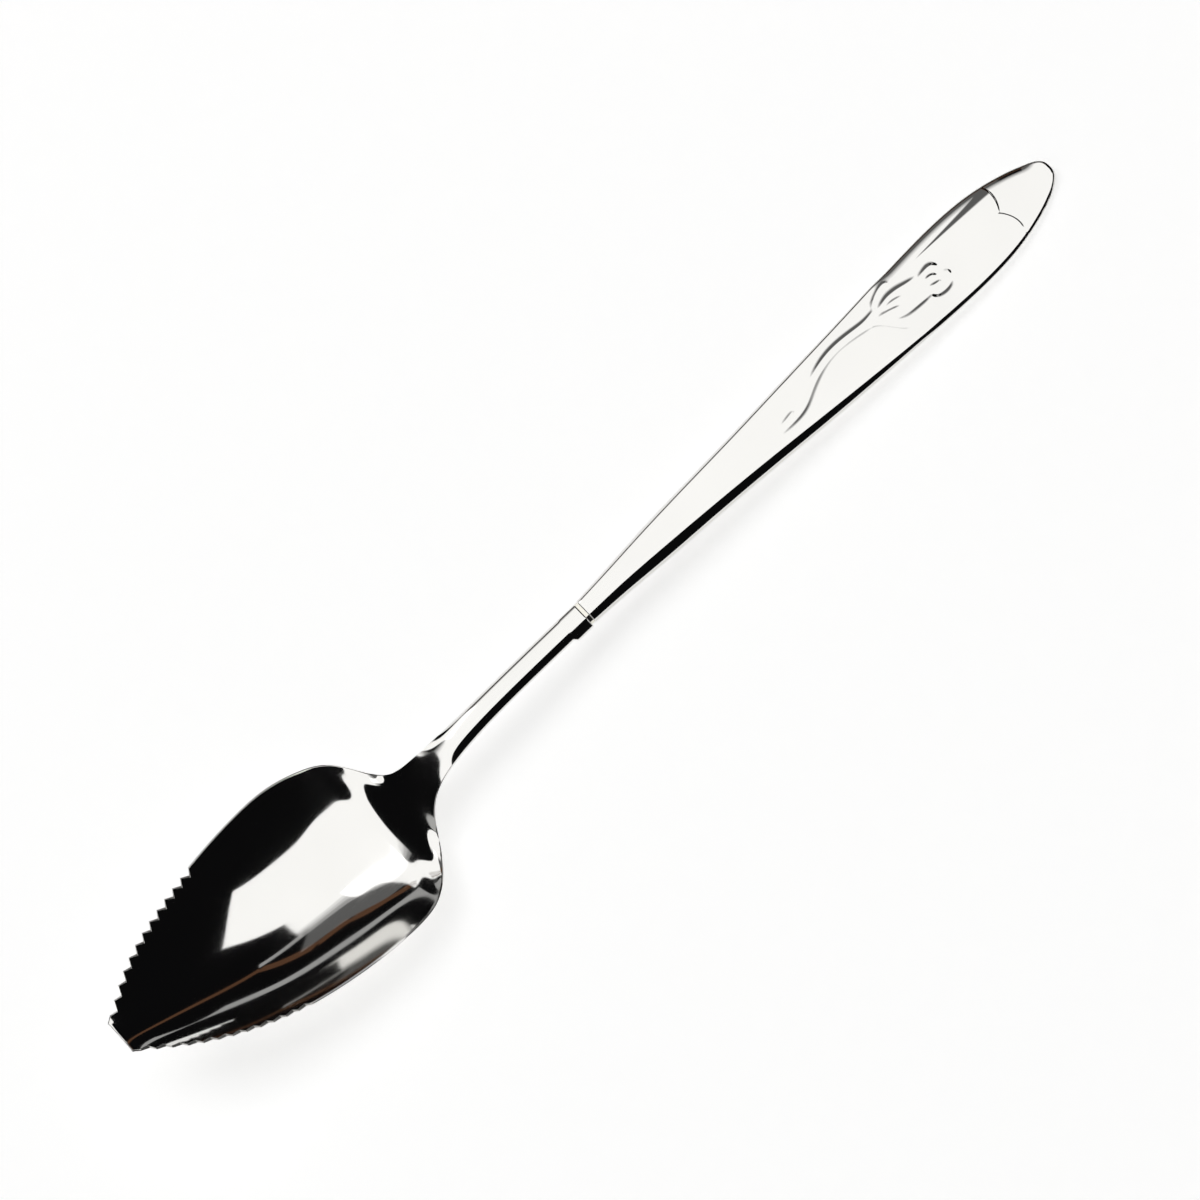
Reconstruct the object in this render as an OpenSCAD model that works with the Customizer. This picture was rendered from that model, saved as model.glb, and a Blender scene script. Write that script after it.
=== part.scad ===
// Grapefruit spoon, polished stainless steel, lying face up on a table.
// Millimetres. X runs from the bowl tip to the handle end, Y across, Z up from the table.
// The bowl and the handle are two stampings, butted at a seam in the shank,
// held by a hidden round pin and filled with a ring of silver braze.

/* [Bowl] */
// Length from the blunt tip to the heel, where the shoulders run out into the neck
bowl_length = 49; // [44:0.5:56]
// Width over the edges at the widest place
bowl_width = 31.6; // [27:0.2:37]
// Depth from the edge down to the inside floor at the deepest place
bowl_depth = 6; // [4.5:0.25:8]
// Width of the blunt cut across the tip
tip_width = 5.7; // [4.5:0.1:8]
// How far the edge rises from the middle of the bowl to the tip
tip_rise = 6.4; // [4:0.2:8]
// How far the edge falls from the middle of the bowl to the shoulders
shoulder_drop = 3.6; // [2:0.1:4.5]
// Thickness of the sheet at the bottom of the bowl
sheet = 1.1; // [0.8:0.05:1.6]
// Width of the land along the edge of the bowl
edge_land = 0.55; // [0.3:0.05:0.9]

/* [Serration] */
// Number of notches along each side of the tip
tooth_count = 12; // [6:1:14]
// Spacing of the notches, measured along the spoon
tooth_pitch = 1.65; // [1.2:0.05:2]
// Depth of a notch, measured down the wall
tooth_depth = 0.95; // [0.5:0.05:1.4]
// Plain edge left between the tip corner and the first notch
tooth_start = 0.9; // [0.5:0.1:2]

/* [Neck and seam] */
// Length of the neck from the heel to the seam
neck_length = 31.5; // [26:0.5:38]
// Width of the shank at the seam
shank_width = 3.8; // [3.2:0.1:5]
// Thickness of the shank at the seam
shank_thick = 2.2; // [2:0.1:3]
// Height of the shank's middle above the table at the seam
shank_height = 5.1; // [4.6:0.1:7]
// Fall of the shank towards the handle end, in degrees
shank_fall = 3.4; // [2.4:0.1:4.4]
// Height of the bevel along the upper edges of the shank
bevel = 0.7; // [0.4:0.05:0.9]
// Length of the thicker lip at the end of the neck
lip_length = 3.2; // [2:0.1:5]
// How far the lip stands out below the neck
lip_drop = 0.55; // [0.2:0.05:0.8]
// Width of the seam that the braze fills
seam_gap = 0.5; // [0.3:0.05:0.8]
// Diameter of the pin inside the seam
pin_d = 1.2; // [1:0.05:1.4]
// Depth of the pin in each stamping
pin_depth = 5; // [3:0.25:7]

/* [Handle] */
// Length of the handle from the seam to its end
handle_length = 83; // [76:0.5:92]
// Width of the handle at the widest place
handle_width = 12.1; // [10:0.1:14]
// Thickness of the handle a little beyond the seam
handle_thick = 2.5; // [2.2:0.05:3]
// Thickness of the flat end of the handle
end_thick = 1.05; // [0.9:0.05:1.4]

/* [Ornament] */
// Height of the raised panel round the rosebud
panel_height = 0.2; // [0.1:0.05:0.3]
// Height of the rosebud and its stem
rose_height = 0.45; // [0.2:0.05:0.6]
// Distance from the handle end to the cusp of the bracket-shaped panel end
bracket_d = 9; // [8:0.2:11]
// Distance from the handle end to the middle of the blossom
blossom_d = 21.2; // [19:0.2:24]
// Length of the rosebud from the middle of the blossom to the foot of its stem
rose_length = 28; // [24:0.5:32]
// Width of the stem
stem_width = 1.1; // [0.8:0.1:1.6]

/* [Hidden] */
// Brazing clearance round the pin, on the radius
braze_clear = 0.05;
// Size of the braze as a share of the handle's root section
braze_share = 0.93;
// Free depth beyond the pin in each bore
bore_spare = 0.3;
// Height of the slope on the land along the bowl's edge
edge_down = 0.1;
// Height of the bowl's section at the tip
tip_deep = 1.3;
// Flat side left between the bevelled top and the rounded underside of the neck
side_flat = 0.25;
// How far the lip stands out at each side of the neck, and the length of its slope
lip_out = 0.12;
lip_ramp = 0.6;
// How far the bottom of a notch leans towards the handle, as a share of the notches' spacing
tooth_lean = 0.12;
// Width of the plain border round the panel, depth of the bracket's two lobes, run of the panel's step
border = 1;
lobe_deep = 1.35;
step_run = 0.3;
// Points across the bowl from edge to edge, less one
across = 18;
// Steps across the flat top of the handle, and across its flat underside
handle_across = 22;
under_across = 4;

overall = bowl_length + neck_length + seam_gap + handle_length;
tip_x = -overall / 2;
heel_x = tip_x + bowl_length;
seam_x = heel_x + neck_length;
handle_x = seam_x + seam_gap * cos(shank_fall);
end_x = handle_x + handle_length;
fall = tan(shank_fall);
mid_edge = bowl_depth + sheet;
half = bowl_width / 2;

// Smooth curve along a list of stations: a cubic B-spline whose ends sit on the end stations
function station(P, i) =
    i < 0 ? 2 * P[0] - P[1] : i >= len(P) ? 2 * P[len(P) - 1] - P[len(P) - 2] : P[i];
function spline(P, t) =
    let (i = max(0, min(floor(t), len(P) - 2)), f = t - i)
    (pow(1 - f, 3) * station(P, i - 1)
    + (3 * f * f * f - 6 * f * f + 4) * station(P, i)
    + (-3 * f * f * f + 3 * f * f + 3 * f + 1) * station(P, i + 1)
    + f * f * f * station(P, i + 2)) / 6;
// The place on the curve whose first value is x, found by halving
function place(P, x, a, b, n) =
    n == 0 ? (a + b) / 2
    : let (m = (a + b) / 2) spline(P, m)[0] < x ? place(P, x, m, b, n - 1) : place(P, x, a, m, n - 1);
function at(P, x) = spline(P, place(P, x, 0, len(P) - 1, 24));
function ramp(x, a, b) = let (t = max(0, min(1, (x - a) / (b - a)))) t * t * (3 - 2 * t);

// Faces of a solid lofted through rings of the same number of points
function loft_faces(n, m) = concat(
    [for (i = [0:n - 2], j = [0:m - 1]) [i * m + j, i * m + (j + 1) % m, (i + 1) * m + j]],
    [for (i = [0:n - 2], j = [0:m - 1]) [i * m + (j + 1) % m, (i + 1) * m + (j + 1) % m, (i + 1) * m + j]],
    [[for (j = [m - 1:-1:0]) j]],
    [[for (j = [0:m - 1]) (n - 1) * m + j]]);
module loft(rings) {
    n = len(rings);
    m = len(rings[0]);
    polyhedron(points = [for (r = rings) each r], faces = loft_faces(n, m));
}

// Bowl stations: place, half width, edge height, keel height, thickness in the middle,
// edge land across, edge land down, fullness of the section, lean, flare of the section towards the edge
function bowl_st(fx, fw, e, k, land = 1, p = 2.1, flare = 0) =
    [tip_x + fx * bowl_length, fw * half, e, k, sheet, land * edge_land, edge_down, p, 0, flare];
// From the tip to the middle: the share of the tip's rise left, and the depth as a share of the deepest
function fore_st(fx, fw, rise, depth) =
    let (e = mid_edge + rise * tip_rise) bowl_st(fx, fw, e, e - depth * mid_edge);
// From the middle to the heel: the share of the shoulders' drop, and the keel's height
function aft_st(fx, fw, drop, keel, land = 1, p = 2.1, flare = 0) =
    bowl_st(fx, fw, mid_edge - drop * shoulder_drop, keel * mid_edge, land, p, flare);
// Neck: place, width and thickness as shares of the shank's, land, fullness, and sag below the shank's line
function neck_st(fx, fw, t, land, p, sag) =
    let (x = heel_x + fx * neck_length, z = shank_height + (seam_x - x) * fall - sag)
    [x, fw * shank_width / 2, z + t * shank_thick / 2 - bevel, z - t * shank_thick / 2, t * shank_thick,
        land, side_flat, p, fall, 0];
tip_edge = mid_edge + tip_rise;
bowl_line = [
    [tip_x, tip_width / 2, tip_edge, tip_edge - tip_deep, sheet, edge_land, edge_down, 2, 0, 0],
    fore_st(0.06, 0.345, 0.92, 0.32),
    fore_st(0.14, 0.551, 0.79, 0.51),
    fore_st(0.25, 0.735, 0.53, 0.72),
    fore_st(0.37, 0.87, 0.28, 0.89),
    fore_st(0.49, 0.956, 0.12, 0.98),
    aft_st(0.61, 1, 0, -0.01),
    aft_st(0.72, 1.02, 0.2, -0.01, 1, 2.2),
    aft_st(0.82, 1.005, 0.555, 0.014, 1.2, 2.4),
    aft_st(0.885, 0.845, 0.93, 0.056, 1.6, 2.2, 0.5),
    aft_st(0.93, 0.53, 1.02, 0.21, 1.6, 2, 1),
    aft_st(0.985, 0.27, 0.8, 0.42, 1.2, 2, 0.8),
    aft_st(1.05, 0.184, 0.33, 0.65, 0.6, 2, 0.3),
    neck_st(0.24, 1.15, 0.98, 0.06, 4, 0.66),
    neck_st(0.45, 1, 1, 0.02, 4.5, 0.12),
    neck_st(0.75, 1, 1, 0.02, 4.5, 0),
    neck_st(1, 1, 1, 0.02, 4.5, 0)];
keel_low = min([for (t = [4:0.05:10]) spline(bowl_line, t)[3]]);

// Stations cut by the section plane: two to a notch, then closer where the shape turns
notch_x = tip_x + tooth_start;
notch_end = notch_x + tooth_count * tooth_pitch;
bar_x = heel_x + neck_length / 8;
lip_x = seam_x - lip_length;
bowl_x = concat(
    [tip_x],
    [for (i = [0:2 * tooth_count]) notch_x + (i / 2 + (i % 2) * tooth_lean) * tooth_pitch],
    [for (i = [1:22]) notch_end + i * (bar_x - notch_end) / 22],
    [for (i = [1:8]) bar_x + i * (lip_x - bar_x) / 8],
    [lip_x + lip_ramp, seam_x]);
function notch(i) = i >= 2 && i <= 2 * tooth_count && i % 2 == 0 ? tooth_depth : 0;

// Height share across a section, from 0 in the middle to 1 at the edge:
// a power curve, turning into one that flares flat towards the edge
function bowl_curve(q, p, flare) = (1 - flare) * pow(q, p) + flare * q * q * (3 - 2 * q);

// One ring of the bowl and neck: the upper face from the near edge to the far edge, then the lower
function bowl_ring(i) =
    let (
        x = bowl_x[i],
        s = at(bowl_line, x),
        lip = ramp(x, lip_x, lip_x + lip_ramp),
        w = s[1] + lip_out * lip,
        e = s[2] - keel_low,
        k = s[3] - keel_low - lip_drop * lip,
        top = s[3] - keel_low + s[4],
        p = s[7],
        wall = atan(p * max(0, e - top) / w),
        cut = notch(i) * cos(wall) / w,
        up = [for (j = [0:across]) let (q = (1 - cut) * sin(180 * j / across - 90),
            z = e + (top - e) * (1 - bowl_curve(abs(q), p, s[9]))) [q * (w - s[5]), z]],
        lo = [for (j = [across:-1:0]) let (q = (1 - 0.75 * cut) * sin(180 * j / across - 90),
            z = e - s[6] + (k - e + s[6]) * (1 - bowl_curve(abs(q), p, s[9]))) [q * w, z]])
    [for (v = concat(up, lo)) [x + s[8] * (v[1] - top + s[4] / 2), v[0], v[1]]];

// The line through the seam that the pin and the bores share
seam_z = shank_height - keel_low;
module on_seam(d) {
    translate([seam_x, 0, seam_z])
        rotate([0, 90 + shank_fall, 0])
            translate([0, 0, d])
                children();
}
module pin_bore(d) {
    on_seam(d)
        cylinder(h = pin_depth + bore_spare, d = pin_d + 2 * braze_clear, $fn = 48);
}

module bowl_and_neck() {
    color("silver")
        difference() {
            loft([for (i = [0:len(bowl_x) - 1]) bowl_ring(i)]);
            pin_bore(-pin_depth - bore_spare);
        }
}

// Handle stations: place, half width, height of the top, thickness, 45 degree bevel along the top
hw = handle_width / 2;
handle_rise = seam_z - seam_gap * sin(shank_fall) + shank_thick / 2 - end_thick;
root_half = 0.513 * shank_width;
root_bevel = 0.94;
function handle_st(fx, w, up, t, b) =
    [handle_x + fx * handle_length, w, end_thick + up * handle_rise, t, b * bevel];
handle_line = [
    handle_st(0, root_half, 1, shank_thick, root_bevel),
    handle_st(0.072, 0.38 * hw, 1, 0.96 * handle_thick, 1.23),
    handle_st(0.144, 0.48 * hw, 0.966, handle_thick, 1.47),
    handle_st(0.24, 0.55 * hw, 0.87, 0.96 * handle_thick, 1.36),
    handle_st(0.36, 0.645 * hw, 0.7, 0.92 * handle_thick, 1.26),
    handle_st(0.48, 0.78 * hw, 0.53, 0.82 * handle_thick, 1.17),
    handle_st(0.6, 0.875 * hw, 0.353, 0.64 * handle_thick, 0.89),
    handle_st(0.7, 0.965 * hw, 0.26, 0.48 * handle_thick, 0.6),
    handle_st(0.79, 1.03 * hw, 0.215, end_thick, 0.43),
    handle_st(0.87, 0.98 * hw, 0.157, end_thick, 0.43),
    handle_st(0.93, 0.76 * hw, 0, end_thick, 0.43),
    handle_st(0.97, 0.51 * hw, 0, end_thick, 0.43),
    handle_st(1, 0.22 * hw, 0, end_thick, 0.43),
    handle_st(1, 0, 0, end_thick, 0.43)];

// Stem of the rosebud, as shares of its length: distance back from the blossom, and place across
stem = [for (p = [[1, -0.052], [0.906, -0.033], [0.814, -0.015], [0.743, 0.012], [0.675, 0.052],
    [0.606, 0.072], [0.514, 0.081], [0.42, 0.074], [0.353, 0.06], [0.296, 0.054]])
    [blossom_d, 0] + rose_length * p];
function to_line(p, a, b) =
    let (t = max(0, min(1, ((p - a) * (b - a)) / ((b - a) * (b - a))))) norm(p - a - t * (b - a));
function ridge(p, r) =
    let (d = min([for (i = [0:len(stem) - 2]) to_line(p, stem[i], stem[i + 1])]))
    d < r ? sqrt(1 - d * d / (r * r)) : 0;
// One petal: a low oval bump, with its middle, half length and half width in the same shares, and its turn
function petal(p, c, l, w, turn) =
    let (
        q = (p - [blossom_d, 0]) / rose_length - c,
        u = (q[0] * cos(turn) + q[1] * sin(turn)) / l,
        v = (q[1] * cos(turn) - q[0] * sin(turn)) / w,
        d = u * u + v * v)
    d < 1 ? sqrt(1 - d) : 0;
// In order: the stem, the cup under the bud, three petals of the bud, the blossom and a leaf
function rose(p) = rose_height * max(
    0.55 * ridge(p, stem_width / 2),
    0.6 * petal(p, [0.32, 0.054], 0.075, 0.036, 5),
    0.8 * petal(p, [0.154, 0.084], 0.121, 0.027, 4),
    0.95 * petal(p, [0.154, 0.034], 0.118, 0.032, 10),
    0.8 * petal(p, [0.139, -0.021], 0.114, 0.032, 14),
    petal(p, [-0.018, -0.017], 0.065, 0.086, 0),
    0.5 * petal(p, [0.211, 0.129], 0.075, 0.018, -18));
// The raised panel: an arch at the rosebud, a bracket with two lobes at the end, a border at the edges
function panel(p, w) =
    let (
        bracket = bracket_d - lobe_deep * abs(sin(180 * p[1] / hw)),
        arch = blossom_d + rose_length * (0.333 - 4.5 * pow(p[1] / rose_length - 0.029, 2)))
    ramp(p[0], bracket - step_run / 2, bracket + step_run / 2)
    * (1 - ramp(p[0], arch - 2 * step_run, arch + step_run))
    * (1 - ramp(abs(p[1]), w - border, w - border + step_run));

// Stations of the handle: wide apart on the shank, close through the ornament
carve_x = end_x - blossom_d - 1.06 * rose_length;
round_x = end_x - 0.56 * handle_width;
handle_far = len(handle_line) - 1.12;
handle_t = concat(
    [for (i = [0:12]) place(handle_line, handle_x + i * (carve_x - handle_x) / 12, 0, 11, 24)],
    [for (i = [1:80]) place(handle_line, carve_x + i * (round_x - carve_x) / 80, 0, 12, 24)],
    let (a = place(handle_line, round_x, 0, 12, 24)) [for (i = [1:14]) a + i * (handle_far - a) / 14]);
// Places across a bevelled plate: one edge, n steps over the flat that the bevels leave, the other edge
function bevelled(w, b, n) = concat([-w], [for (j = [0:n]) (w - b) * (2 * j / n - 1)], [w]);
function handle_ring(i) =
    let (
        s = spline(handle_line, handle_t[i]),
        x = s[0],
        w = s[1],
        top = s[2],
        low = s[2] - s[3],
        b = min(s[4], 0.6 * w),
        u = min((s[3] - s[4]) / 2, 0.6 * w),
        lean = i == 0 ? fall : 0,
        up = [for (y = bevelled(w, b, handle_across)) let (p = [end_x - x, y])
            [y, top - max(0, abs(y) - w + b) + rose(p) + panel_height * panel(p, w)]],
        lo = [for (y = bevelled(w, u, under_across)) [-y, low + max(0, abs(y) - w + u)]])
    [for (v = concat(up, lo)) [x + lean * (v[1] - (top + low) / 2), v[0], v[1]]];

module handle() {
    color("gainsboro")
        difference() {
            loft([for (i = [0:len(handle_t) - 1]) handle_ring(i)]);
            pin_bore(seam_gap);
        }
}

// Straight pin, half in the neck and half in the handle
module joint_pin() {
    color("gray")
        on_seam(-pin_depth)
            cylinder(h = 2 * pin_depth + seam_gap, d = pin_d, $fn = 48);
}

// Ring of braze that fills the seam round the pin, in the shape of the handle's root but a little smaller
module braze_ring() {
    w = braze_share * root_half;
    t = braze_share * shank_thick / 2;
    b = braze_share * root_bevel * bevel;
    u = braze_share * (shank_thick - root_bevel * bevel) / 2;
    color("khaki")
        on_seam(0)
            difference() {
                linear_extrude(seam_gap)
                    polygon([[-t, b - w], [-t, w - b], [b - t, w], [t - u, w],
                        [t, w - u], [t, u - w], [t - u, -w], [b - t, -w]]);
                translate([0, 0, -seam_gap / 2])
                    cylinder(h = 2 * seam_gap, d = pin_d + 2 * braze_clear, $fn = 48);
            }
}

bowl_and_neck();
handle();
joint_pin();
braze_ring();
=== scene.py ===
# %% [markdown]
# # Grapefruit spoon
# A slim spoon of mirror-polished stainless steel. Its bowl is pointed and has saw teeth along
# both sides of the tip, and its flat handle carries a rosebud in relief. The CAD solids come in
# first, as the frame that fixes every size. The two stampings are then made again as fine smooth
# meshes, because a mirror shows each facet of a coarse one.

# %% Load the solids
import bmesh
import bpy
import numpy as np
from mathutils import Matrix, Vector


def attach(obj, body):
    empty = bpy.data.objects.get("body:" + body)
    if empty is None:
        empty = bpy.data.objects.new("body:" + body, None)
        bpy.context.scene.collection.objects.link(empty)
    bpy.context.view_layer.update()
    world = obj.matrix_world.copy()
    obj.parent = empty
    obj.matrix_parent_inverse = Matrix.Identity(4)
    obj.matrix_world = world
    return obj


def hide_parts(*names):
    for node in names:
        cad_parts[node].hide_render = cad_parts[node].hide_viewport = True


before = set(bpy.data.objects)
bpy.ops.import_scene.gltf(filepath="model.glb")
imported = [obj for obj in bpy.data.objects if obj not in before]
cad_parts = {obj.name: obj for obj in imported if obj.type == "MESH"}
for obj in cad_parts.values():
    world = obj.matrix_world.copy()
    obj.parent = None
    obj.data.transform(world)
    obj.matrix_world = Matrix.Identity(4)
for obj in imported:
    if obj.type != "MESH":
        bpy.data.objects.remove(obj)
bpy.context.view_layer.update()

# %% [markdown]
# ## Curves through stations
# Both stampings are lofts: a few sections along the length, each a short list of numbers, with a
# smooth curve through them. A cubic B-spline is used, as in the CAD, because it has no jump in
# curvature, and a jump would show as a kink in the reflections. All the shapes are worked out in
# millimetres and become metres when a mesh is made.

# %% Spline and ramp
MM = 0.001


def spline(stations, t):
    s = np.asarray(stations, float)
    s = np.vstack([2 * s[0] - s[1], s, 2 * s[-1] - s[-2]])
    i = np.clip(np.floor(t).astype(int), 0, len(s) - 4)
    f = (t - i)[:, None]
    return ((1 - f) ** 3 * s[i] + (3 * f**3 - 6 * f**2 + 4) * s[i + 1]
            + (-3 * f**3 + 3 * f**2 + 3 * f + 1) * s[i + 2] + f**3 * s[i + 3]) / 6


def ramp(x, a, b):
    t = np.clip((x - a) / (b - a), 0, 1)
    return t * t * (3 - 2 * t)


def across(n, crowd=0.35):
    """Shares from one edge to the other, a little closer together near the edges."""
    j = np.arange(n + 1) / n
    return crowd * np.sin(np.pi * (j - 0.5)) + (1 - crowd) * (2 * j - 1)


print("five shares across:", across(4).round(2))


# %% [markdown]
# ## Sizes of the spoon
# These are the named values of the CAD source. Three are finer here than in the solids: the land
# along the rim is thinner, and the lip also stands out at the sides and hangs a little over the
# bevel. Everything below follows from them.

# %% Sizes in millimetres
bowl_length, bowl_width, bowl_depth, sheet = 49, 31.6, 6, 1.1
tip_width, tip_rise, tip_deep, shoulder_drop = 5.7, 6.4, 1.3, 3.6
edge_land, edge_down = 0.25, 0.1
tooth_count, tooth_pitch, tooth_depth, tooth_start, tooth_lean = 12, 1.65, 0.95, 0.9, 0.12
neck_length, shank_width, shank_thick, shank_height = 31.5, 3.8, 2.2, 5.1
bevel, side_flat = 0.7, 0.25
shank_fall = np.radians(3.4)
lip_length, lip_drop, lip_out, lip_edge, lip_ramp = 3.2, 0.55, 0.3, 0.45, 0.6
seam_gap, pin_d, pin_depth, braze_clear, bore_spare = 0.5, 1.2, 5, 0.05, 0.3
handle_length, handle_width, handle_thick, end_thick = 83, 12.1, 2.5, 1.05

fall = np.tan(shank_fall)
overall = bowl_length + neck_length + seam_gap + handle_length
tip_x = -overall / 2
heel_x = tip_x + bowl_length
seam_x = heel_x + neck_length
handle_x = seam_x + seam_gap * np.cos(shank_fall)
end_x = handle_x + handle_length
mid_edge, half = bowl_depth + sheet, bowl_width / 2
print(f"overall {overall} mm, tip at {tip_x}, seam at {seam_x}, handle end at {end_x:.2f}")

# %% [markdown]
# ## Bowl and neck
# On the real spoon this is one stamping: sheet is pressed into a pointed bowl, its neck is forged
# to a bevelled bar, and the teeth are ground through the edge. It could be sculpted, but a loft
# keeps the exact sizes. Each station gives the place, half width, edge height, keel height,
# thickness, the land along the edge, the fullness of the section, its lean, and how much of it is
# an S-curve or a straight wall. The shoulders need the most care: a mirror shows each small bump
# there, so the curve passes exactly through the stations of the rear half and is then evened a
# little.

# %% Stations of the bowl and neck
def bowl_st(fx, fw, e, k, land=1, p=2.1, flare=0, straight=0):
    x, w = tip_x + fx * bowl_length, fw * half
    return [x, w, e, k, sheet, land * edge_land, edge_down, p, 0, flare, straight]


def fore_st(fx, fw, rise, depth):
    e = mid_edge + rise * tip_rise
    return bowl_st(fx, fw, e, e - depth * mid_edge)


def aft_st(fx, fw, drop, keel, land=1, p=2.1, flare=0, straight=0):
    e, k = mid_edge - drop * shoulder_drop, keel * mid_edge
    return bowl_st(fx, fw, e, k, land, p, flare, straight)


def neck_st(fx, fw, t, land, p, sag, straight=1):
    x = heel_x + fx * neck_length
    z = shank_height + (seam_x - x) * fall - sag
    t = t * shank_thick
    w, e, k = fw * shank_width / 2, z + t / 2 - bevel, z - t / 2
    return [x, w, e, k, t, land, side_flat, p, fall, 0, straight]


def through(rows, before, after):
    """Control rows of a spline through these rows, between two neighbours that stay."""
    n = len(rows)
    links = 4 * np.eye(n) + np.eye(n, k=1) + np.eye(n, k=-1)
    wanted = 6 * np.array(rows, float)
    wanted[0] -= before
    wanted[-1] -= after
    return np.linalg.solve(links, wanted).tolist()


def evened(column, step, spread):
    """A column with its small bumps smoothed out over a short distance; its two ends stay."""
    n = int(4 * spread / step)
    weight = np.exp(-0.5 * (np.arange(-n, n + 1) * step / spread) ** 2)
    longer = np.r_[2 * column[0] - column[n:0:-1], column, 2 * column[-1] - column[-2:-n - 2:-1]]
    return np.convolve(longer, weight / weight.sum(), "valid")


tip_edge = mid_edge + tip_rise
fore_line = [
    [tip_x, tip_width / 2, tip_edge, tip_edge - tip_deep, sheet, edge_land, edge_down, 2, 0, 0, 0],
    fore_st(0.06, 0.338, 0.92, 0.32), fore_st(0.14, 0.54, 0.79, 0.51),
    fore_st(0.25, 0.722, 0.53, 0.72), fore_st(0.37, 0.857, 0.28, 0.89),
    fore_st(0.49, 0.943, 0.12, 0.98)]
rear_rows = [
    aft_st(0.61, 0.986, 0.045, 0.012), aft_st(0.7, 0.993, 0.269, -0.007, straight=0.35),
    aft_st(0.77, 0.9675, 0.562, 0.003, straight=0.8),
    aft_st(0.82, 0.9234, 0.782, 0.014, straight=1),
    aft_st(0.85, 0.8764, 0.88, 0.028, straight=1),
    aft_st(0.88, 0.7956, 0.993, 0.07, p=3.2, straight=0.5),
    aft_st(0.905, 0.688, 1.164, 0.13, p=3.2), aft_st(0.93, 0.549, 1.3, 0.213, p=2.7),
    aft_st(0.955, 0.42, 1.26, 0.305, p=2.5, flare=0.2),
    aft_st(0.985, 0.304, 0.95, 0.417, p=2.2, flare=0.3),
    aft_st(1.05, 0.196, 0.45, 0.605, 0.4, 2.2, 0.3)]
neck_line = [
    neck_st(0.24, 1.15, 0.98, 0.06, 4, 0.66, 0.3), neck_st(0.45, 1, 1, 0.02, 4.5, 0.12),
    neck_st(0.75, 1, 1, 0.02, 4.5, 0), neck_st(1, 1, 1, 0.02, 4.5, 0)]
bowl_line = fore_line + through(rear_rows, fore_line[-1], neck_line[0]) + neck_line
bowl_curve = spline(bowl_line, np.linspace(0, len(bowl_line) - 1, 20001))
bowl_x = np.linspace(tip_x, seam_x, 4001)
bowl_step, even_spread = bowl_x[1] - bowl_x[0], 0.5
bowl_columns = [
    evened(np.interp(bowl_x, bowl_curve[:, 0], c), bowl_step, even_spread) for c in bowl_curve.T]
keel_low = -0.0568  # as in the CAD, where the spoon's lowest point is on the table
seam_z = shank_height - keel_low
print(f"{len(bowl_line)} stations, lowest keel {keel_low:.3f} mm, seam at height {seam_z:.2f}")

# %% [markdown]
# ## Saw teeth
# A grinding wheel leaves V-shaped notches square to the edge, so each notch leans a little
# towards the handle when it is seen from above. A boolean cut would leave a messy mesh. Here each
# row of points across the bowl simply stops short of the edge by the depth of the notch at that
# place, and only the points near the edge move.

# %% Rows along the bowl, and the depth of the notch at each
notch_x = tip_x + tooth_start
notch_end = notch_x + tooth_count * tooth_pitch
lip_x = seam_x - lip_length
valley = 0.5 + tooth_lean
tooth_rows = np.r_[np.linspace(0, valley, 7)[:-1], np.linspace(valley, 1, 6)[:-1]]
end_round = 0.16
# Rows lie closest in the teeth, at the heel and at the lip
bowl_rows = np.r_[
    tip_x + end_round, np.linspace(tip_x + end_round, notch_x, 6)[1:-1],
    notch_x + tooth_pitch * (np.arange(tooth_count)[:, None] + tooth_rows).ravel(),
    np.arange(notch_end, heel_x - 1, 0.33), np.arange(heel_x - 1, heel_x + 9, 0.25),
    np.arange(heel_x + 9, lip_x - 0.3, 0.5), np.arange(lip_x - 0.3, lip_x + 1, 0.08),
    np.linspace(lip_x + 1, seam_x - end_round, 10)]


def notch(x):
    f = (x - notch_x) / tooth_pitch
    inside = (f > 0) & (f < tooth_count)
    f = f % 1
    vee = np.where(f < valley, f / valley, (1 - f) / (1 - valley))
    return tooth_depth * np.where(inside, vee, 0)


print(f"{len(bowl_rows)} rows, deepest notch {notch(bowl_rows).max():.2f} mm")

# %% [markdown]
# ## Rings of points
# A ring runs over the upper face from the near edge to the far edge and back along the underside.
# Its four corners are rounded with a short curve of five points, because an edge with no rounding
# catches no light and looks drawn.

# %% Rings of the bowl and neck
def rounded_corner(before, corner, after, r, most=0.45):
    """Five points on a curve round each corner; the arrays hold one (y, z) pair for each row.

    The curve takes the distance r of each side, or the share most of a side that is short.
    """
    a, b = before - corner, after - corner
    la, lb = np.linalg.norm(a, axis=1)[:, None], np.linalg.norm(b, axis=1)[:, None]
    p = corner + a * np.minimum(r / la, most)
    q = corner + b * np.minimum(r / lb, most)
    s = np.linspace(0, 1, 5)[None, :, None]
    return (1 - s) ** 2 * p[:, None] + 2 * s * (1 - s) * corner[:, None] + s**2 * q[:, None]


def between(a, b):
    """Six points on the land, closer near its ends, so that its reflections stay straight."""
    s = np.array([0.06, 0.2, 0.4, 0.6, 0.8, 0.94])[None, :, None]
    return a[:, None] * (1 - s) + b[:, None] * s


def ring_of(upper, lower, r):
    """Closed rings from upper and lower points (rows, points, 2), near edge to far edge."""
    near_in = rounded_corner(lower[:, 0], upper[:, 0], upper[:, 1], r)
    far_in = rounded_corner(upper[:, -2], upper[:, -1], lower[:, -1], r)
    far_out = rounded_corner(upper[:, -1], lower[:, -1], lower[:, -2], r)
    near_out = rounded_corner(lower[:, 1], lower[:, 0], upper[:, 0], r)
    far_land = between(far_in[:, -1], far_out[:, 0])
    near_land = between(near_out[:, -1], near_in[:, 0])
    return np.concatenate([near_land[:, 3:], near_in, upper[:, 1:-1], far_in, far_land,
                           far_out, lower[:, -2:0:-1], near_out, near_land[:, :3]], axis=1)


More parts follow.
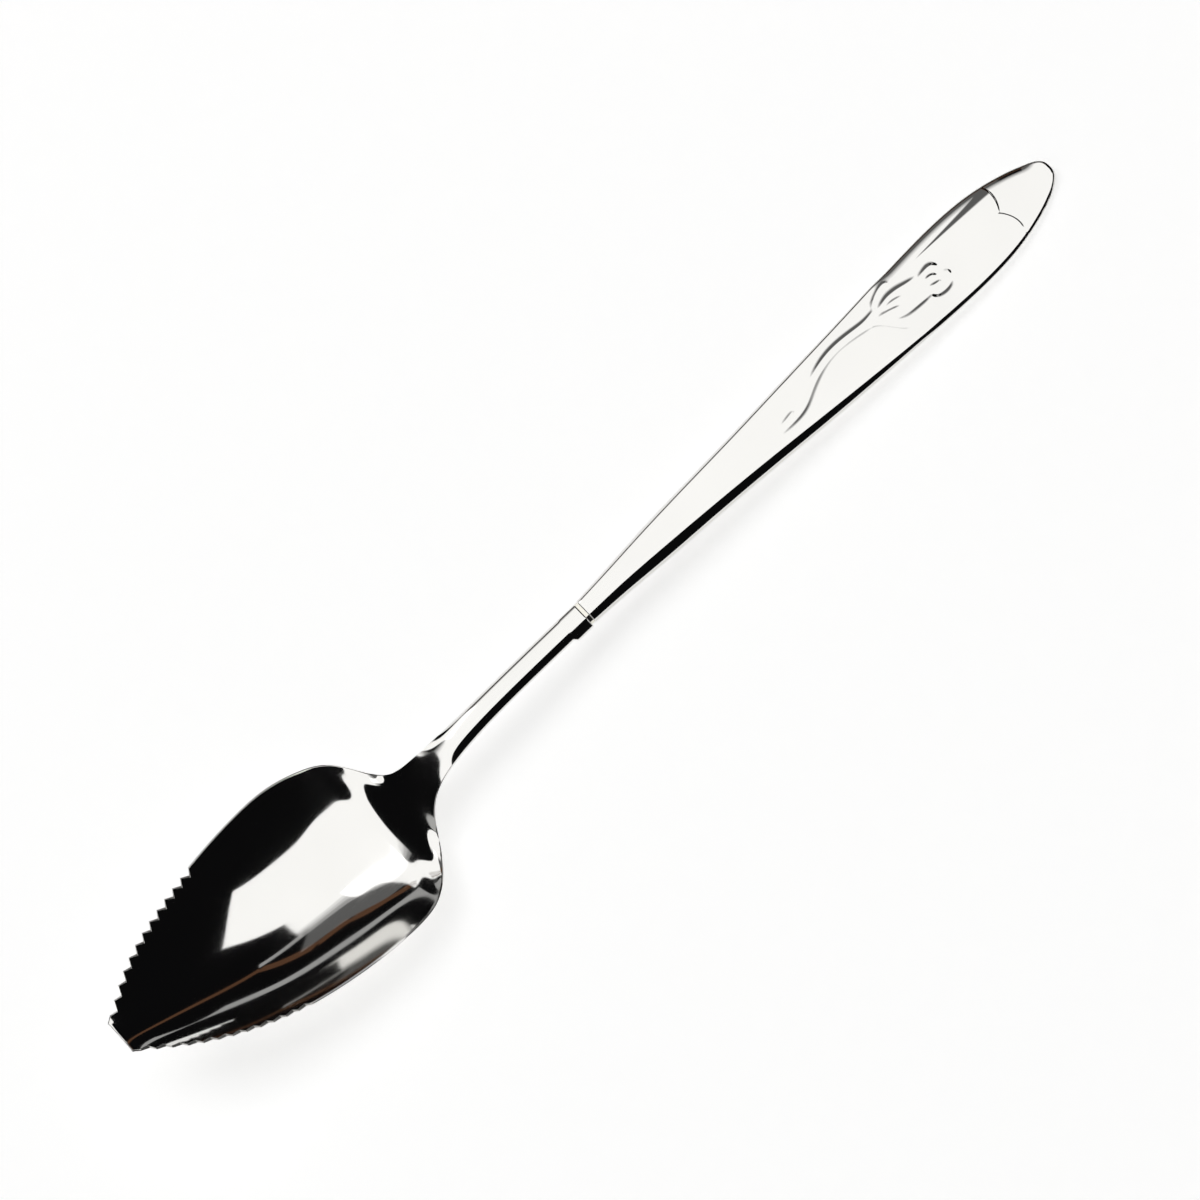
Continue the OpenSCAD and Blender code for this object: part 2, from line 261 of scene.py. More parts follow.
bowl_across = 84
floor_share, floor_bend = 0.52, 0.2  # flat share of the bowl's half width, and the size of its bend
neck_share, neck_bend = 0.63, 0.08  # the same where the neck is a bevelled bar
bar_start, bar_full = 2, 12  # where the bar begins and is complete, behind the heel
under_share = 0.75  # the notch is a little shallower on the underside
still_reach, still_least = 2.5, 0.3  # how far in from the edge the points move for a notch
bowl_edge_round = 0.07


def straight_wall(a, flat, bend):
    """Rise of a section with a flat middle, a rounded bend and a straight wall."""
    def bent(t):
        return 0.5 * (t + np.sqrt(t * t + bend**2))

    def both(t):
        return bent(t - flat) + bent(-t - flat)

    return (both(a) - both(0)) / (both(1) - both(0))


def bowl_rings(x):
    s = np.stack([np.interp(x, bowl_x, c) for c in bowl_columns], axis=1)
    lip = ramp(x, lip_x, lip_x + lip_ramp)
    w = s[:, 1] + lip_out * lip
    e = s[:, 2] - keel_low - lip_edge * lip
    k, top, p = s[:, 3] - keel_low, s[:, 3] + s[:, 4] - keel_low, s[:, 7]
    wall = np.arctan(p * np.maximum(0, e - top) / w)
    full = tooth_depth * np.cos(wall) / w
    cut = notch(x) * np.cos(wall) / w
    still = np.maximum(still_least, 1 - still_reach * full)[:, None]

    def shares(depth):
        q = across(bowl_across)[None, :]
        short = still + (np.abs(q) - still) * (1 - depth[:, None] - still) / (1 - still)
        return np.sign(q) * np.where(np.abs(q) > still, short, np.abs(q))

    flare, straight = s[:, 9, None], s[:, 10, None]
    on_neck = ramp(x, heel_x + bar_start, heel_x + bar_full)[:, None]
    flat = floor_share + (neck_share - floor_share) * on_neck
    bend = floor_bend + (neck_bend - floor_bend) * on_neck

    def face(q, width, edge, middle):
        a = np.abs(q)
        bowed = (1 - straight) * a ** p[:, None] + straight * straight_wall(a, flat, bend)
        rise = (1 - flare) * bowed + flare * ramp(a, 0, 1)
        z = edge[:, None] + (middle - edge)[:, None] * (1 - rise)
        return np.stack([q * width[:, None], z], axis=2)

    upper = face(shares(cut), w - s[:, 5], e, top)
    lower = face(shares(under_share * cut), w, e - s[:, 6], k - lip_drop * lip)
    rings = ring_of(upper, lower, bowl_edge_round)
    lean = s[:, 8, None] * (rings[..., 1] - (top - s[:, 4] / 2)[:, None])
    return np.dstack([x[:, None] + lean, rings])


bowl_body = bowl_rings(bowl_rows)
print("bowl rings:", bowl_body.shape)

# %% [markdown]
# ## From rings to a mesh
# The rings are joined with quads. The tip ends in a narrow rounded cut, and the neck ends in a
# flat face with the blind bore for the pin. Normals are pointed outwards by Blender, and edges
# sharper than the rounding stay crisp.

# %% Mesh helpers
def link_mesh(name, points, faces, finish=None, sharp=40):
    """A linked object; finish gives each face the number of its material."""
    mesh = bpy.data.meshes.new(name)
    mesh.from_pydata((np.asarray(points) * MM).tolist(), [], faces)
    if finish is not None:
        mesh.polygons.foreach_set("material_index", finish)
    b = bmesh.new()
    b.from_mesh(mesh)
    bmesh.ops.remove_doubles(b, verts=b.verts, dist=1e-7)
    bmesh.ops.recalc_face_normals(b, faces=b.faces)
    b.to_mesh(mesh)
    b.free()
    mesh.shade_smooth()
    mesh.set_sharp_from_angle(angle=np.radians(sharp))
    obj = bpy.data.objects.new(name, mesh)
    bpy.context.scene.collection.objects.link(obj)
    print(f"{name}: {len(mesh.vertices)} points, {len(mesh.polygons)} faces")
    return obj


def loft_faces(n, m):
    return [(i * m + j, i * m + (j + 1) % m, (i + 1) * m + (j + 1) % m, (i + 1) * m + j)
            for i in range(n - 1) for j in range(m)]


def tucked(ring, towards, by, most=0.9):
    """A ring pulled in towards the given points by a distance, for the rounding at an end."""
    d = towards - ring
    length = np.linalg.norm(d, axis=1)[:, None]
    return ring + d * np.minimum(by / np.maximum(length, 1e-9), most)


def end_rows(ring, towards, out, r):
    """Four rows that round an end off: they move out along the length and in towards the middle."""
    rows = []
    for a in np.radians([22.5, 45, 67.5, 90]):
        rows.append(tucked(ring, towards, r * (1 - np.cos(a))) + np.asarray(out) * r * np.sin(a))
    return np.array(rows)


print("faces between two rings of eight points:", len(loft_faces(2, 8)))


# %% [markdown]
# ## The mesh of the bowl and neck
# The neck of the real spoon has a hole drilled into its end for the pin, so the mesh has it too,
# though the braze hides it. A boolean could cut it. Here the last ring is joined to a circle with
# as many points, and the circle is pushed inwards, which leaves clean faces. The faces in the
# notches are marked, because they were ground and not polished.

# %% Build the bowl and neck
axis = np.array([np.cos(shank_fall), 0, -np.sin(shank_fall)])


def bored_end(points, faces, ring_at, centre, inwards):
    """Closes a ring with a flat face that has a round blind bore in its middle."""
    m = len(ring_at)
    ring = np.array([points[i] for i in ring_at])
    angle = np.arctan2(ring[:, 2] - centre[2], ring[:, 1])
    r = pin_d / 2 + braze_clear
    spoke = np.stack([0 * angle, np.cos(angle), np.sin(angle)], axis=1)
    spoke[:, 0] = fall * spoke[:, 2]
    mouth = centre + r * spoke
    floor = mouth + np.asarray(inwards) * (pin_depth + bore_spare)
    base = len(points)
    points += [*mouth, *floor, floor.mean(axis=0)]
    for j in range(m):
        k = (j + 1) % m
        faces.append((ring_at[j], ring_at[k], base + k, base + j))
        faces.append((base + j, base + k, base + m + k, base + m + j))
        faces.append((base + m + j, base + m + k, base + 2 * m))


m = bowl_body.shape[1]
tip_ring, tip_inset = bowl_body[0], 0.25
sheet_middle = (tip_ring + tip_ring[::-1]) / 2
sheet_middle[:, 1] *= 1 - tip_inset / np.abs(sheet_middle[:, 1]).max()
tip_rows = end_rows(tip_ring, sheet_middle, [-1, 0, 0], end_round)[::-1]
neck_end = np.array([seam_x, 0, seam_z])
neck_rows = end_rows(bowl_body[-1], neck_end[None, :], axis, end_round)
bowl_all = np.concatenate([tip_rows, bowl_body, neck_rows])
points = [*bowl_all.reshape(-1, 3)]
faces = loft_faces(len(bowl_all), m)
faces += [(i, i + 1, m - 2 - i, m - 1 - i) for i in range(m // 2 - 1)]
last = (len(bowl_all) - 1) * m
bored_end(points, faces, list(range(last, last + m)), neck_end, -axis)
row, column = np.divmod(np.arange(last), m)
from_land = np.minimum(np.abs(column + 0.5 - m / 2), np.minimum(column + 0.5, m - column - 0.5))
row_x = bowl_all[row, 0, 0]
land_points = 8  # points of a ring from the middle of the land to the start of a face
ground = np.zeros(len(faces), int)
ground[:last] = (from_land < land_points) & (row_x > notch_x) & (row_x < notch_end)
bowl = link_mesh("steel_bowl_and_neck", points, faces, ground.tolist())
print(ground.sum(), "ground faces in the notches")

# %% [markdown]
# ## Handle
# The handle is the second stamping. It leaves the seam as a thick bevelled bar, grows wider and
# thinner, and ends in a rounded point. Its stations give the place, half width, height of the
# top, thickness and height of the bevel.

# %% Stations of the handle
hw = handle_width / 2
handle_rise = seam_z - seam_gap * np.sin(shank_fall) + shank_thick / 2 - end_thick


def handle_st(fx, w, up, t, b):
    return [handle_x + fx * handle_length, w, end_thick + up * handle_rise, t, b * bevel]


handle_line = [
    handle_st(0, 0.513 * shank_width, 1, shank_thick, 0.94),
    handle_st(0.072, 0.38 * hw, 1, 0.96 * handle_thick, 1.15),
    handle_st(0.144, 0.48 * hw, 0.966, handle_thick, 1.34),
    handle_st(0.24, 0.55 * hw, 0.87, 0.96 * handle_thick, 1.2),
    handle_st(0.36, 0.645 * hw, 0.7, 0.92 * handle_thick, 1.08),
    handle_st(0.48, 0.78 * hw, 0.53, 0.82 * handle_thick, 0.94),
    handle_st(0.6, 0.875 * hw, 0.353, 0.64 * handle_thick, 0.6),
    handle_st(0.7, 0.965 * hw, 0.25, 0.48 * handle_thick, 0.36),
    handle_st(0.79, 1.03 * hw, 0.175, end_thick, 0.26),
    handle_st(0.87, 0.98 * hw, 0.105, end_thick, 0.2),
    handle_st(0.93, 0.76 * hw, 0.045, end_thick, 0.2),
    handle_st(0.97, 0.55 * hw, 0, end_thick, 0.2),
    handle_st(1, 0.24 * hw, 0, end_thick, 0.2), handle_st(1, 0, 0, end_thick, 0.2)]
turn_t = np.linspace(0, len(handle_line) - 1, 20001)
handle_curve = spline(handle_line, turn_t)
print(f"{len(handle_line)} stations, widest {2 * handle_curve[:, 1].max():.2f} mm")

# %% [markdown]
# ## Relief on the handle
# A die strikes the ornament into the top: a rosebud on a winding stem, with a small leaf on its
# far side, and beyond it a panel that swells a little and stops in a bracket with two lobes. It
# could be a bump texture, but real height gives true reflections. The die's lines are soft ridges
# and grooves of about a tenth of a millimetre. They show because the top is a mirror: a slope
# that leans away from the lamp goes dark, and one that leans towards it stays bright. Each stroke
# is a list of points: the distance from the handle's end, the place across, the half width and
# the height.

# %% Strokes of the die
strokes = {
    "stem, far side": [
        (29.3, 2.45, 0.25, 0.04), (31, 2.1, 0.3, 0.08), (32.4, 2.2, 0.34, 0.1),
        (35.2, 2.55, 0.36, 0.11), (37.6, 2.45, 0.36, 0.11), (39.6, 1.9, 0.33, 0.09),
        (40.8, 1.5, 0.27, 0.04), (41.8, 1, 0.2, 0)],
    "stem, near side": [
        (30.6, 0.85, 0.2, 0), (31.2, 1.15, 0.25, -0.03), (33.4, 1.75, 0.28, -0.05),
        (36, 2.1, 0.28, -0.05), (38.4, 1.8, 0.3, -0.06), (40.2, 1.15, 0.32, -0.07),
        (42.2, 0.12, 0.32, -0.07), (43.8, -0.9, 0.33, -0.08), (45.4, -1.45, 0.33, -0.08),
        (47.4, -1.6, 0.28, -0.05), (49.4, -1.65, 0.2, 0)],
    "foot of the stem": [
        (45.6, -0.35, 0.2, 0), (46.2, -0.5, 0.25, 0.05), (47.4, -0.75, 0.25, 0.045),
        (48.4, -0.85, 0.2, 0)],
    "leaf": [
        (29.25, 2.5, 0.2, 0), (29.05, 3, 0.25, 0.05), (28.3, 3.65, 0.25, 0.06),
        (27.4, 4.1, 0.25, 0.05), (26.6, 4.4, 0.25, 0.05), (25.8, 4.5, 0.22, 0.04),
        (25.5, 3.95, 0.2, 0.03), (25.85, 3.5, 0.2, 0)],
    "bud, far side": [
        (28.9, 2.1, 0.2, 0), (28.1, 2.2, 0.3, 0.06), (27, 2.45, 0.34, 0.08),
        (26.4, 2.45, 0.36, 0.09), (25.4, 2.35, 0.36, 0.09), (24.6, 2.13, 0.34, 0.08),
        (23.7, 1.9, 0.3, 0.07), (23.1, 1.8, 0.27, 0.05), (22.5, 1.8, 0.2, 0.01)],
    "bud, near side": [
        (28.3, -0.2, 0.2, 0), (27.5, -0.75, 0.3, -0.05), (26.6, -1.2, 0.33, -0.07),
        (25.7, -1.3, 0.36, -0.09), (24.5, -1.4, 0.36, -0.1), (23.5, -1.5, 0.33, -0.09),
        (22.9, -1.6, 0.27, -0.05)],
    "first fold": [
        (28, 1.55, 0.25, 0.03), (27.2, 1.5, 0.3, 0.08), (26.3, 1.35, 0.3, 0.08),
        (25.4, 1, 0.25, 0.02)],
    "second fold": [
        (29.1, 1.05, 0.25, 0.03), (28, 0.75, 0.3, 0.08), (27.1, 0.35, 0.3, 0.08),
        (26.4, 0, 0.25, 0.02)],
    "third fold": [
        (27.1, -0.35, 0.22, 0.02), (26.7, -0.45, 0.26, 0.055), (26.2, -0.6, 0.2, 0.02)],
    "blossom, far side": [
        (22.4, 1.15, 0.2, 0), (21.8, 1.42, 0.25, 0.04), (21.1, 1.45, 0.3, 0.07),
        (20.45, 1.5, 0.35, 0.1), (19.95, 1.35, 0.35, 0.1), (19.6, 0.9, 0.3, 0.06),
        (19.45, 0.4, 0.25, 0)],
    "blossom, near side": [
        (23.3, -0.9, 0.2, 0), (22.9, -1, 0.25, -0.03), (22.5, -1.25, 0.28, -0.05),
        (22.2, -1.7, 0.3, -0.07), (22, -2.25, 0.33, -0.09), (21.4, -2.5, 0.36, -0.11),
        (20.6, -2.6, 0.36, -0.11), (19.9, -2.48, 0.33, -0.09), (19.5, -2.2, 0.28, -0.06),
        (19.3, -1.7, 0.25, 0)],
    "blossom, inner curl": [
        (21.8, 0.3, 0.2, 0), (21.2, 0.35, 0.24, 0.075), (20.6, 0.1, 0.24, 0.075),
        (20.2, -0.5, 0.2, 0)],
    "blossom, lower curl": [
        (22, -0.7, 0.2, 0), (21.5, -1.15, 0.24, 0.07), (20.8, -1.3, 0.24, 0.065),
        (20.2, -1.3, 0.2, 0)],
    "arch": [
        (30.6, 0.9, 0.2, -0.03), (30, 0.55, 0.25, -0.04), (29.2, -0.5, 0.25, -0.042),
        (28.5, -1.65, 0.25, -0.042), (27.8, -2.65, 0.25, -0.04), (27, -3.5, 0.2, 0)],
    "blossom, rim": [
        (19.3, -0.4, 0.2, 0), (18.9, -0.9, 0.25, 0.05), (19, -1.5, 0.25, 0.05),
        (19.3, -2, 0.2, 0)],
    "swell of the bud": [
        (28.5, 1, 1.5, 0.03), (25.5, 0.4, 2, 0.07), (22.5, -0.2, 2.2, 0.07),
        (20.5, -0.6, 2, 0.04)]}
stroke_spread = 1.4
stroke_strength = 0.85


def stroke_height(d, y, stroke):
    """Height of one stroke at each point: a rounded ridge or groove along a smooth line."""
    line = spline(stroke, np.linspace(0, len(stroke) - 1, 12 * len(stroke)))
    best, z = np.full(d.shape, 1e9), np.zeros(d.shape)
    for a, b in zip(line[:-1], line[1:]):
        run = b - a
        t = np.clip(((d - a[0]) * run[0] + (y - a[1]) * run[1]) / (run[:2] @ run[:2]), 0, 1)
        away = np.hypot(d - a[0] - t * run[0], y - a[1] - t * run[1])
        half_width = stroke_spread * (a[2] + t * run[2])
        height = (a[3] + t * run[3]) * np.exp(-((away / half_width) ** 2))
        z = np.where(away < best, height, z)
        best = np.minimum(best, away)
    return z


print(len(strokes), "strokes")

# %% [markdown]
# ## Panel
# Beyond the blossom the die leaves a plain panel, which swells towards its far side and stops in a
# bracket with two lobes. It could be a mesh of its own, laid on the handle. Here its height is
# added to that of the strokes, so that the whole top stays one surface with clean reflections.

# %% Panel and the whole relief
panel_start, panel_side, panel_slope = 21, 3.8, 0.085
roll_wide, roll_least, roll_end_d, roll_from = 1.7, 0.02, 8, -1  # widest where the panel ends
step_full_d, step_gone_d = 14, 26
bracket_d, lobe_deep, lobe_round, bracket_run, bracket_step = 8.95, 1.1, 0.8, 0.09, 0.02


def panel_height(d, y):
    """The panel swells along its far side, falls towards the border and stops at the bracket."""
    side = roll_wide * (panel_start - d) / (panel_start - roll_end_d)
    side = np.maximum(roll_least, side)
    bracket = bracket_d - lobe_deep * np.abs(np.sin(np.pi * y / hw)) ** lobe_round
    crest, foot = panel_side - side / 2, panel_side + side / 2
    rolled = ramp(y, roll_from, crest) - ramp(y, crest, foot)
    kept = ramp(d, bracket - bracket_run, bracket + bracket_run)
    step = bracket_step * (1 - ramp(d, step_full_d, step_gone_d))
    return (panel_slope * side * rolled + step) * kept


def relief(d, y):
    """Height of the ornament over the plain top, in millimetres."""
    drawn = sum(stroke_height(d, y, s) for s in strokes.values())
    return panel_height(d, y) + stroke_strength * drawn


crest_height = panel_height(np.array(roll_end_d + 2), np.array(panel_side - roll_wide / 2))
print(f"the panel stands {crest_height:.2f} mm high along its crest")

# %% [markdown]
# ## Rings of the handle
# The bevel along the top must follow the outline all round the pointed end, so it is worked out
# from each point's distance to the outline and not only across the handle. Through the panel the
# border also falls away gently, which is what draws the dark line along the far edge.

# %% Rings of the handle
carve_d, point_d = 51, 3.5  # where the relief starts and the rounded point begins, from the end
length_left = end_x - handle_curve[:, 0]


def rows_at(dist):
    return np.interp(-np.asarray(dist), -length_left, turn_t)


# Start, end and step of the rows through the relief: closest at the bracket
row_spans = ((carve_d, 33, 0.2), (33, 10.2, 0.12), (10.2, 7.4, 0.06), (7.4, point_d, 0.14))
handle_t = np.r_[
    rows_at(handle_length - end_round - np.arange(0, handle_length - carve_d, 0.6)),
    np.concatenate([rows_at(np.arange(a, b, -step)) for a, b, step in row_spans]),
    np.linspace(rows_at([point_d])[0], len(handle_line) - 1.02, 46)[1:]]
s = spline(handle_line, handle_t)
hx, w, top, thick, bev = s.T
outline = np.stack([handle_curve[:, 0], handle_curve[:, 1]], axis=1)[::20]
q_top, q_low = across(136), across(48)
exact_d, outline_d = 12, 16  # the point, where the nearest part of the outline is searched for


def edge_distance(x, y):
    """Distance of each point to the handle's outline, exact only near the pointed end."""
    along, wide = handle_curve[:, 0], handle_curve[:, 1]
    slope = np.interp(x, along, np.gradient(wide, along + 1e-9 * turn_t))
    near = np.maximum(0, np.interp(x, along, wide) - np.abs(y)) / np.hypot(1, slope)
    close = end_x - x[:, 0] < exact_d
    px, py = x[close], np.abs(y[close])
    best = np.full(px.shape, 1e9)
    for ox, oy in outline[outline[:, 0] > end_x - outline_d]:
        best = np.minimum(best, np.hypot(px - ox, py - oy))
    near[close] = best
    return near


def chamfer(gap, size, soft=0.07):
    """Fall of a 45 degree bevel at a distance from the edge, with its corner rounded a little."""
    return soft * np.logaddexp(0, (size - gap) / soft)


def handle_face(q):
    y = w[:, None] * q[None, :]
    x = np.repeat(hx[:, None], len(q), axis=1)
    return x, y, edge_distance(x, y)


x, y, gap = handle_face(q_top)
border_fall, border_wide, plain_border = 0.3, 0.55, 0.5
border_from, border_to = (24, 28), (0.5, 3)  # where the fall fades in and out, from the end
soft = border_fall * (1 - ramp(end_x - x, *border_from)) * ramp(end_x - x, *border_to)
z = top[:, None] - chamfer(gap, bev[:, None]) - soft * np.exp(-gap / border_wide)
carved = relief(end_x - x, y) * ramp(gap, 0, plain_border)
z += carved
upper = np.stack([y, z], axis=2)
x, y, gap = handle_face(q_low)
under = ((thick - bev) / 2)[:, None]
lower = np.stack([y, (top - thick)[:, None] + chamfer(gap, under)], axis=2)
print(f"handle rows: {len(hx)}, relief from {carved.min():.2f} to {carved.max():.2f} mm")

# %% [markdown]
# ## The mesh of the handle
# The handle is closed in the same way. Its root has the other half of the pin's hole, and its
# last ring, at the very end, is so small that a single face closes it.

# %% Build the handle
handle_edge_round, lean_run = 0.1, 6
rings = ring_of(upper, lower, handle_edge_round)
above_middle = rings[..., 1] - (top - thick / 2)[:, None]
lean = fall * ramp(handle_x + lean_run - hx, 0, lean_run)[:, None] * above_middle
handle_body = np.dstack([hx[:, None] + lean, rings])
m = handle_body.shape[1]
root = np.array([handle_x, 0, seam_z - seam_gap * np.sin(shank_fall)])
root_rows = end_rows(handle_body[0], root[None, :], -axis, end_round)[::-1]
handle_all = np.concatenate([root_rows, handle_body])
points = [*handle_all.reshape(-1, 3)]
faces = loft_faces(len(handle_all), m)
bored_end(points, faces, list(range(m)), root, axis)
last = (len(handle_all) - 1) * m
faces.append(tuple(range(last, last + m)))
handle = link_mesh("steel_handle", points, faces)

# %% [markdown]
# ## Colours and nodes
# Colours are written as sRGB hex values, as a paint chart gives them, and one function turns them
# into the linear values that Blender works with. One small function adds a shader node with its
# settings and links.

# %% Colour and node helpers
def srgb(code):
    c = np.array([int(code[i:i + 2], 16) / 255 for i in (1, 3, 5)])
    linear = np.where(c <= 0.04045, c / 12.92, ((c + 0.055) / 1.055) ** 2.4)
    return (*linear.tolist(), 1.0)


def add(tree, kind, settings=None, inputs=None):
    node = tree.nodes.new(kind)
    for key, value in (settings or {}).items():
        setattr(node, key, value)
    for key, value in (inputs or {}).items():
        if isinstance(value, tuple) and isinstance(value[0], bpy.types.Node):
            tree.links.new(value[0].outputs[value[1]], node.inputs[key])
        else:
            node.inputs[key].default_value = value
    return node


def new_material(name):
    material = bpy.data.materials.new(name)
    material.use_nodes = True
    material.node_tree.nodes.clear()
    return material, material.node_tree


print("a middle grey in linear values:", round(srgb("#808080")[0], 3))

# %% [markdown]
# ## Stainless steel
# Cutlery steel is buffed on soft wheels until it mirrors the room. What reaches the eye is almost
# only reflections, with faint buffing lines along the spoon and a light haze from handling. A
# metallic shader with a low roughness gives that, and the roughness varies a little so that the
# mirror isn't perfect. The notches are ground last and stay satin: they spread the light, so they
# look pale grey from any side.

# %% Stainless steel, mirror polished
def polished_steel():
    material, tree = new_material("stainless_steel_mirror_polished")
    place = add(tree, "ShaderNodeTexCoord")
    # Buffing lines run along the spoon, about 0.25 mm apart: coarser than real ones, to show at all
    stretch = add(tree, "ShaderNodeMapping", inputs={
        "Vector": (place, "Object"), "Scale": (60, 4000, 4000)})
    lines = add(tree, "ShaderNodeTexNoise", inputs={
        "Vector": (stretch, 0), "Scale": 1.0, "Detail": 3.0})
    # Haze from handling, in patches about 12 mm across
    haze = add(tree, "ShaderNodeTexNoise", inputs={
        "Vector": (place, "Object"), "Scale": 85.0, "Detail": 2.0})
    patch = add(tree, "ShaderNodeMapRange", inputs={
        "Value": (haze, "Fac"), "From Min": 0.4, "From Max": 0.75,
        "To Min": 0.035, "To Max": 0.075})
    line = add(tree, "ShaderNodeMapRange", inputs={
        "Value": (lines, "Fac"), "From Min": 0.3, "From Max": 0.7, "To Min": 0.0, "To Max": 0.03})
    rough = add(tree, "ShaderNodeMath", {"operation": "ADD"}, {0: (patch, 0), 1: (line, 0)})
    tint = add(tree, "ShaderNodeValToRGB", inputs={"Fac": (haze, "Fac")})
    tint.color_ramp.elements[0].color = srgb("#D8D7D4")
    tint.color_ramp.elements[1].color = srgb("#E0DFDC")
    bump = add(tree, "ShaderNodeBump", inputs={
        "Height": (lines, "Fac"), "Strength": 0.02, "Distance": 0.00002})
    steel = add(tree, "ShaderNodeBsdfPrincipled", inputs={
        "Base Color": (tint, 0), "Metallic": 1.0, "Roughness": (rough, 0), "Normal": (bump, 0)})
    add(tree, "ShaderNodeOutputMaterial", inputs={"Surface": (steel, 0)})
    return material


def ground_steel():
    material, tree = new_material("stainless_steel_ground_satin")
    place = add(tree, "ShaderNodeTexCoord")
    # The wheel's scratches run across the edge, about 0.12 mm apart: coarser than real ones
    stretch = add(tree, "ShaderNodeMapping", inputs={
        "Vector": (place, "Object"), "Scale": (8000, 500, 500)})
    scratch = add(tree, "ShaderNodeTexNoise", inputs={
        "Vector": (stretch, 0), "Scale": 1.0, "Detail": 2.0})
    rough = add(tree, "ShaderNodeMapRange", inputs={
        "Value": (scratch, "Fac"), "To Min": 0.25, "To Max": 0.42})
    bump = add(tree, "ShaderNodeBump", inputs={
        "Height": (scratch, "Fac"), "Strength": 0.3, "Distance": 0.00003})
    metal = add(tree, "ShaderNodeBsdfPrincipled", inputs={
        "Base Color": srgb("#D2D1CE"), "Metallic": 1.0, "Roughness": (rough, 0),
        "Normal": (bump, 0)})
    add(tree, "ShaderNodeOutputMaterial", inputs={"Surface": (metal, 0)})
    return material


steel = polished_steel()
for piece, node in ((bowl, "bowl_and_neck"), (handle, "handle")):
    piece.data.materials.append(steel)
    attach(piece, "root")
    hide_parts(node)
bowl.data.materials.append(ground_steel())
print("finishes of the bowl:", [m.name for m in bowl.data.materials])

# %% [markdown]
# ## Silver braze and drawn wire
# Silver braze is a pale alloy with a hint of yellow. It runs into the seam and is wiped, so it is
# smooth, but duller than the steel beside it. The pin is a length of drawn wire, hidden in the
# joint. The CAD solids of both have the right shape already, so they stay and only get a finish.

# %% Silver braze and the pin
def plain_metal(name, dark, light, rough, grain_mm):
    material, tree = new_material(name)
    place = add(tree, "ShaderNodeTexCoord")
    grain = add(tree, "ShaderNodeTexNoise", inputs={
        "Vector": (place, "Object"), "Scale": 1 / (grain_mm * MM), "Detail": 4.0})
    tint = add(tree, "ShaderNodeValToRGB", inputs={"Fac": (grain, "Fac")})
    tint.color_ramp.elements[0].color = srgb(dark)
    tint.color_ramp.elements[1].color = srgb(light)
    uneven = add(tree, "ShaderNodeMapRange", inputs={
        "Value": (grain, "Fac"), "To Min": rough - 0.08, "To Max": rough + 0.08})
    metal = add(tree, "ShaderNodeBsdfPrincipled", inputs={
        "Base Color": (tint, 0), "Metallic": 1.0, "Roughness": (uneven, 0)})
    add(tree, "ShaderNodeOutputMaterial", inputs={"Surface": (metal, 0)})
    return material


braze = plain_metal("silver_braze_wiped", "#DAD7CD", "#ECE9E0", rough=0.2, grain_mm=0.3)
wire = plain_metal("steel_wire_drawn", "#8E8E8C", "#A9A9A6", rough=0.35, grain_mm=0.2)
for node, finish in (("braze_ring", braze), ("joint_pin", wire)):
    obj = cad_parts[node]
    obj.data.materials.clear()
    obj.data.materials.append(finish)
    print("finished", node, "with", finish.name)

# %% [markdown]
# ## Floor
# The spoon lies on a board that is painted matt white. The paint takes the soft shadow. A faint
# glow that only the camera and the mirror of the steel see makes the board read as white, and it
# adds no light to the spoon.

# %% Floor
floor_size, floor_below, floor_glow = 4, 0.02 * MM, 0.58
bpy.ops.mesh.primitive_plane_add(size=floor_size, location=(0, 0, -floor_below))
floor = bpy.context.object
floor.name = "floor"
board, tree = new_material("board_painted_matt_white")
place = add(tree, "ShaderNodeTexCoord")
# The roller's stipple, about 2.5 mm across
stipple = add(tree, "ShaderNodeTexNoise", inputs={
    "Vector": (place, "Object"), "Scale": 400.0, "Detail": 3.0})
tint = add(tree, "ShaderNodeValToRGB", inputs={"Fac": (stipple, "Fac")})
tint.color_ramp.elements[0].color = srgb("#F1F1F0")
tint.color_ramp.elements[1].color = srgb("#F7F7F6")
paint = add(tree, "ShaderNodeBsdfPrincipled", inputs={
    "Base Color": (tint, 0), "Roughness": 0.9, "Specular IOR Level": 0.1})
path = add(tree, "ShaderNodeLightPath")
seen = add(tree, "ShaderNodeMath", {"operation": "MAXIMUM"}, {
    0: (path, "Is Camera Ray"), 1: (path, "Is Glossy Ray")})
level = add(tree, "ShaderNodeMath", {"operation": "MULTIPLY"}, {0: (seen, 0), 1: floor_glow})
glow = add(tree, "ShaderNodeEmission", inputs={"Color": srgb("#FFFFFF"), "Strength": (level, 0)})
both = add(tree, "ShaderNodeAddShader", inputs={0: (paint, 0), 1: (glow, 0)})
add(tree, "ShaderNodeOutputMaterial", inputs={"Surface": (both, 0)})
floor.data.materials.append(board)
print("floor", floor_size, "m wide, finished with", board.name)

# %% [markdown]
# ## Light
# A mirror shows what is round it, so the lamps of this studio are placed for their reflections.
# The big softbox overhead makes the handle and the hollow of the bowl white. The panels next to
# it get dimmer towards the far side, so that the white ends softly. Dim strips further down stand
# for the far side of a room, and the near side stays dark, which is what draws the black shapes
# in the bowl and along the bevels.

# %% Light
scene = bpy.context.scene
world = bpy.data.worlds.new("studio")
scene.world = world
world.use_nodes = True
world.node_tree.nodes["Background"].inputs["Color"].default_value = srgb("#0D0D0E")


